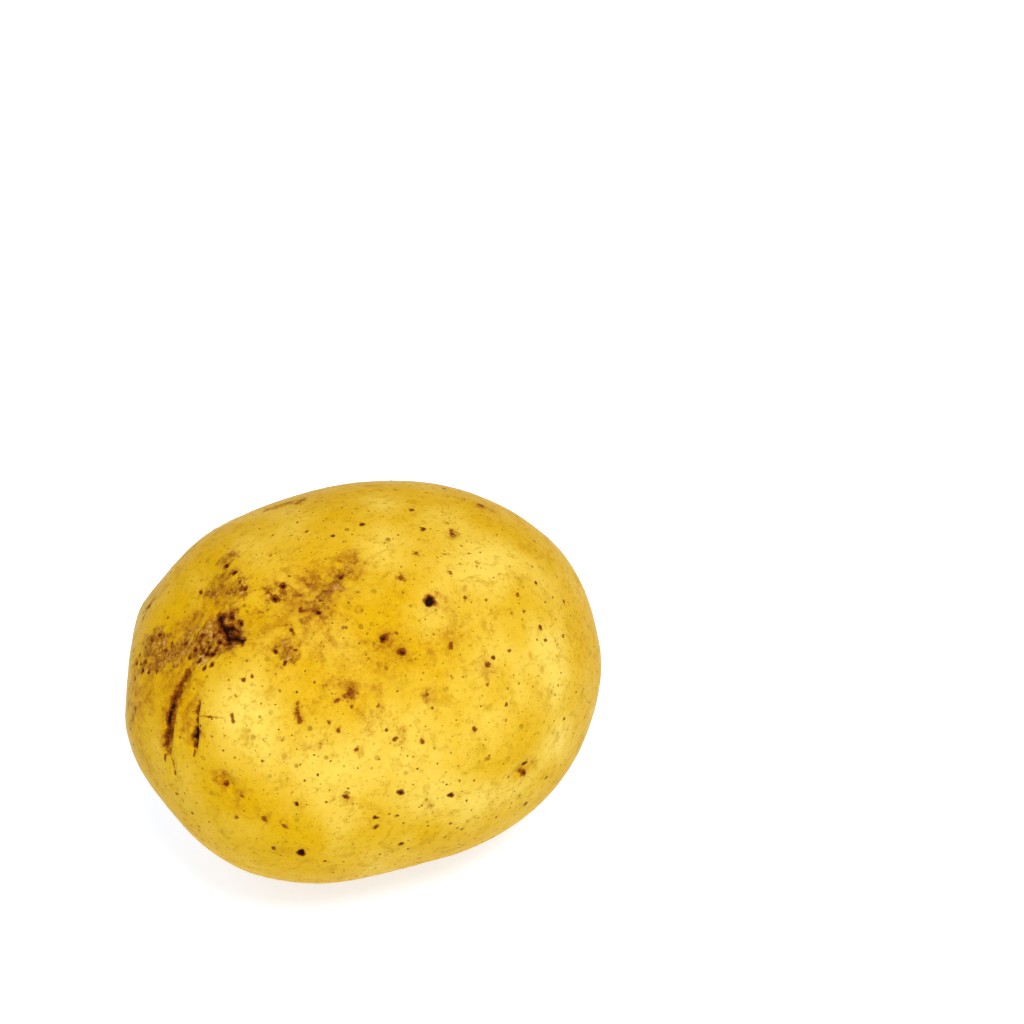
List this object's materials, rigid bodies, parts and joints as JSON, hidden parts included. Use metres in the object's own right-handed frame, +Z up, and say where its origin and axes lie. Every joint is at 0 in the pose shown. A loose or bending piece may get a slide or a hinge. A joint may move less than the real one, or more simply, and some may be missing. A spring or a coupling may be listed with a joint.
{
  "type": "potato",
  "caption": "Whole raw table potato with thin yellow skin, shallow eyes and corky specks, lying on a small flat spot.",
  "frame": {"origin": "on the ground, under the middle of the tuber's box", "axes": "+X along the tuber from its rose end to its stem end, +Y across it, +Z up; the broad side that the picture shows faces up and towards -X and -Y"},
  "size_m": [0.0952, 0.0768, 0.0673],
  "materials": {
    "potato_skin": "satin"
  },
  "bodies": {
    "root": {"potato": "potato_skin"}
  },
  "joints": []
}
